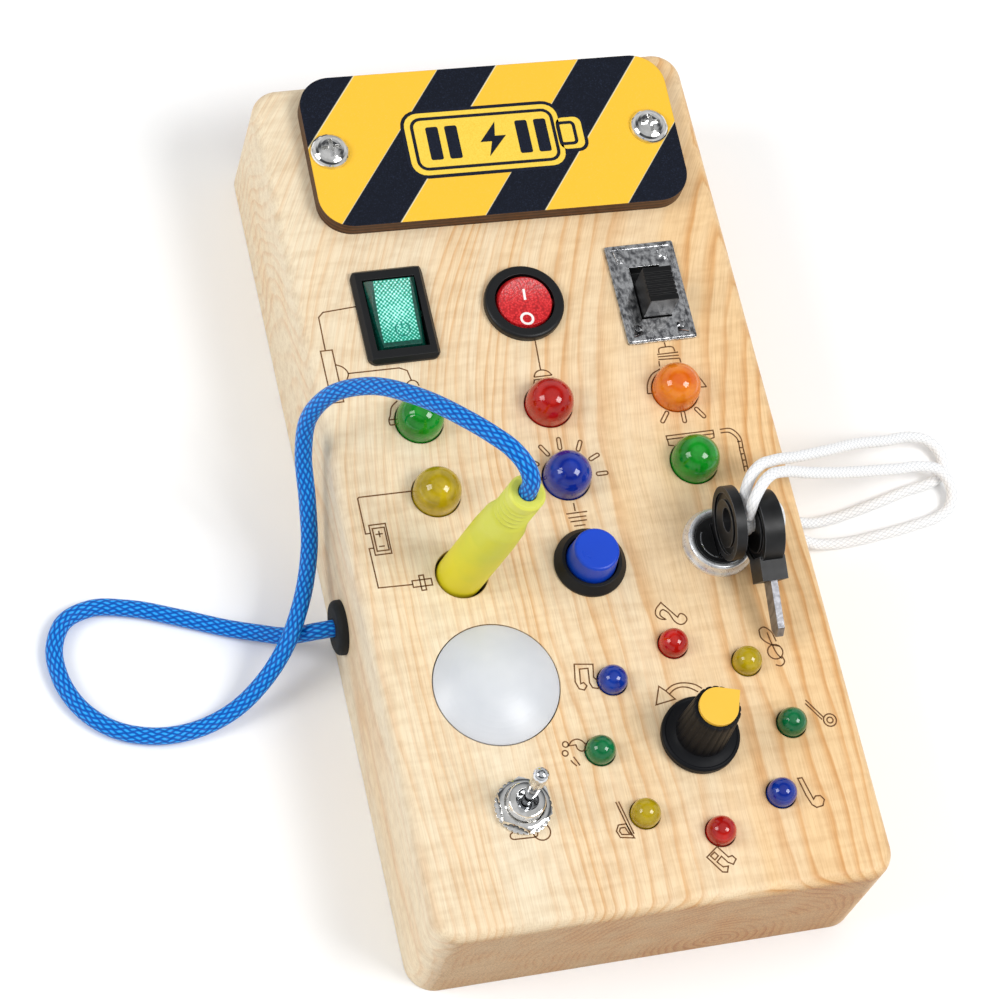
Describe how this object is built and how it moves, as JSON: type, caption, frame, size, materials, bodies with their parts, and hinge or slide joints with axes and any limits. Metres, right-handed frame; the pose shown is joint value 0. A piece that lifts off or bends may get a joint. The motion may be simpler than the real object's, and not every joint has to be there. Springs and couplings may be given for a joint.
{
  "type": "wooden busy board",
  "caption": "Handheld pine busy board for a small child: rocker, slide, push and toggle switches, a key lock, a knob, a plug on a cord, and coloured lamps.",
  "frame": {"origin": "centre of the block's back face, on the surface that the board lies on", "axes": "+Z out of the play face, +Y along the block towards the striped plate, +X to the right when the play face is seen with the plate at the top"},
  "size_m": [0.2545, 0.24, 0.1048],
  "materials": {
    "pine": "sanded pine, clear matt lacquer",
    "pine_back": "sanded birch ply",
    "steel": "polished zinc plate",
    "box_plastic": "moulded, fine texture",
    "cell_label": "shrink sleeve",
    "contact_steel": "nickel plated spring steel",
    "printed_ply": "printed plywood with burnt edge",
    "circuit_board": "solder mask",
    "lamp_board": "white solder mask",
    "wire_cover": "extruded PVC",
    "black_nylon": "moulded nylon, satin",
    "green_cap": "translucent moulded polycarbonate",
    "red_cap": "moulded ABS",
    "tinplate": "bright tinned steel",
    "switch_case": "moulded phenolic",
    "blue_cap": "moulded ABS, satin",
    "chrome": "bright chrome plate",
    "key_black": "moulded ABS",
    "key_steel": "nickel plated",
    "white_cord": "braided polyester",
    "toggle_case": "moulded melamine",
    "pointer_yellow": "moulded ABS",
    "knob_black": "moulded ABS, satin",
    "rotary_case": "moulded phenolic",
    "frosted": "frosted acrylic",
    "lamp_red": "tinted epoxy",
    "lamp_orange": "tinted epoxy",
    "lamp_yellow": "tinted epoxy",
    "lamp_blue": "tinted epoxy",
    "lamp_green": "tinted epoxy",
    "plug_yellow": "translucent soft PVC",
    "gilt": "gilt brass",
    "blue_braid": "braided polyester",
    "black_rubber": "moulded rubber"
  },
  "bodies": {
    "root": {"pine_block": "pine", "back_panel": "pine_back", "back_screws": "steel", "battery_box": "box_plastic", "battery_door": "box_plastic", "cells": "cell_label", "cell_contacts": "contact_steel", "striped_plate": "printed_ply", "plate_screws": "steel", "control_board": "circuit_board", "wiring": "wire_cover", "green_rocker_frame": "black_nylon", "red_rocker_frame": "black_nylon", "slide_switch_plate": "tinplate", "slide_switch_case": "switch_case", "terminals": "contact_steel", "push_button_bezel": "black_nylon", "push_button_spring": "contact_steel", "push_button_nut": "black_nylon", "lock_body": "chrome", "lock_nut": "steel", "tether_upper": "white_cord", "tether_lower": "white_cord", "tether_stop": "white_cord", "toggle_case": "toggle_case", "toggle_bushing": "chrome", "toggle_washer": "steel", "toggle_nut": "steel", "rotary_case": "rotary_case", "rotary_nut": "steel", "dome_lens": "frosted", "lamp_boards": "lamp_board", "big_lamp_red": "lamp_red", "big_lamp_orange": "lamp_orange", "big_lamp_yellow": "lamp_yellow", "big_lamp_blue": "lamp_blue", "big_lamps_green": "lamp_green", "small_lamps_red": "lamp_red", "small_lamps_yellow": "lamp_yellow", "small_lamps_green": "lamp_green", "small_lamps_blue": "lamp_blue", "jack_socket": "black_nylon", "blue_cord": "blue_braid", "cord_grommet": "black_rubber"},
    "green_rocker": {"green_rocker_cap": "green_cap"},
    "red_rocker": {"red_rocker_cap": "red_cap"},
    "slide_knob": {"slide_switch_knob": "black_nylon"},
    "push_button": {"push_button_cap": "blue_cap"},
    "lock_core": {"lock_core": "key_black"},
    "keys": {"key_blade": "key_steel", "key_head": "key_black", "hanging_key_blade": "key_steel", "hanging_key_head": "key_black", "tether_knot": "white_cord"},
    "toggle": {"toggle_lever": "chrome"},
    "selector_knob": {"knob": "knob_black", "knob_pointer": "pointer_yellow", "rotary_shaft": "steel"},
    "plug": {"plug_grip": "plug_yellow", "plug_pin": "gilt"}
  },
  "joints": [
    {"name": "green_rocker_tilt", "type": "hinge", "parent": "root", "child": "green_rocker", "pos_m": [-0.0348, 0.04885, 0.0395], "axis": [1, 0, 0], "range_deg": [-18, 0]},
    {"name": "red_rocker_tilt", "type": "hinge", "parent": "root", "child": "red_rocker", "pos_m": [0, 0.048, 0.0393], "axis": [1, 0, 0], "range_deg": [-18, 0]},
    {"name": "slide_switch_travel", "type": "slide", "parent": "root", "child": "slide_knob", "axis": [0, 1, 0], "range_m": [0, 0.005]},
    {"name": "push_button_travel", "type": "slide", "parent": "root", "child": "push_button", "axis": [0, 0, -1], "range_m": [0, 0.0032], "stiffness_N_per_m": 400, "springref_m": -0.0012, "deforming": ["push_button_spring"]},
    {"name": "lock_turn", "type": "hinge", "parent": "root", "child": "lock_core", "pos_m": [0.0355, -0.0259, 0.04], "axis": [0, 0, 1], "range_deg": [0, 90], "deforming": ["tether_upper", "tether_lower"]},
    {"name": "key_pull", "type": "slide", "parent": "lock_core", "child": "keys", "axis": [0, 0, 1], "range_m": [0, 0.02]},
    {"name": "toggle_swing", "type": "hinge", "parent": "root", "child": "toggle", "pos_m": [-0.0313, -0.0886, 0.041], "axis": [1, 0, 0], "range_deg": [-12, 12]},
    {"name": "knob_turn", "type": "hinge", "parent": "root", "child": "selector_knob", "pos_m": [0.0175, -0.0771, 0.04], "axis": [0, 0, 1], "range_deg": [-90, 210]},
    {"name": "plug_pull", "type": "slide", "parent": "root", "child": "plug", "axis": [0.1248, -0.0382, 0.9914], "range_m": [0, 0.025], "deforming": ["blue_cord"]}
  ]
}
